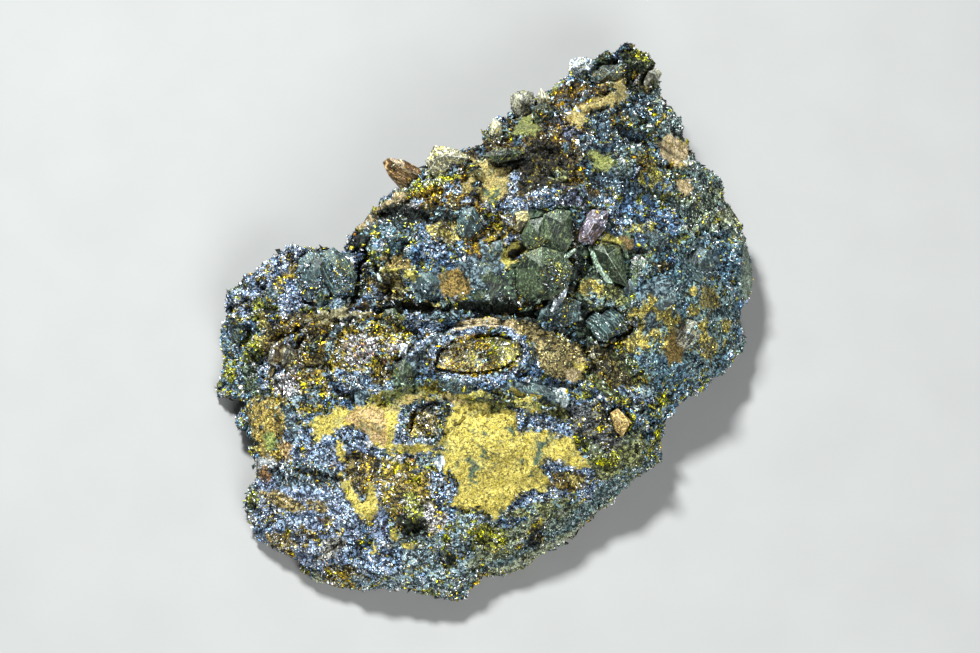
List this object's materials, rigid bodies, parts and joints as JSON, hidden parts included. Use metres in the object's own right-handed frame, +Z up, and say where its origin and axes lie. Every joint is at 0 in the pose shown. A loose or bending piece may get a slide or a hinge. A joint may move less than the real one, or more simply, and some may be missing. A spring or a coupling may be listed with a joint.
{
  "type": "mineral specimen",
  "caption": "Broken crust of intergrown descloizite crystals with crevices, zoned cells, ledges and an ochre-coated shelf, lying on a flat fractured base.",
  "frame": {"origin": "on the flat broken base, under the middle of the bounding box", "axes": "+Z up off the base, +Y towards the high northern tip, -Y towards the viewer of the display face, +X to the right"},
  "size_m": [0.0918, 0.096, 0.0377],
  "materials": {
    "drusy_rock": "satin",
    "olive_crystal": "gloss",
    "amber_crystal": "gloss",
    "lilac_crystal": "gloss",
    "brown_crust": "matte"
  },
  "bodies": {
    "root": {"crystal_mass": "drusy_rock", "rim_crystal_1": "amber_crystal", "rim_crystal_2": "amber_crystal", "rim_crystal_3": "amber_crystal", "rim_crystal_4": "amber_crystal", "rim_crystal_5": "amber_crystal", "rim_crystal_6": "lilac_crystal", "rim_crystal_7": "lilac_crystal", "green_crystals": "olive_crystal", "shaded_crystals": "olive_crystal", "spearhead_crystal": "olive_crystal", "lilac_crystal": "lilac_crystal", "striped_crystals": "olive_crystal", "dome_crystals": "olive_crystal", "wedge_crystal_1": "olive_crystal", "wedge_crystal_2": "olive_crystal", "blade_crystal": "olive_crystal", "orange_crystal": "amber_crystal", "oval_cell_crust": "brown_crust", "rhomb_cell_crust": "brown_crust", "brown_hollow_crust": "brown_crust"}
  },
  "joints": []
}
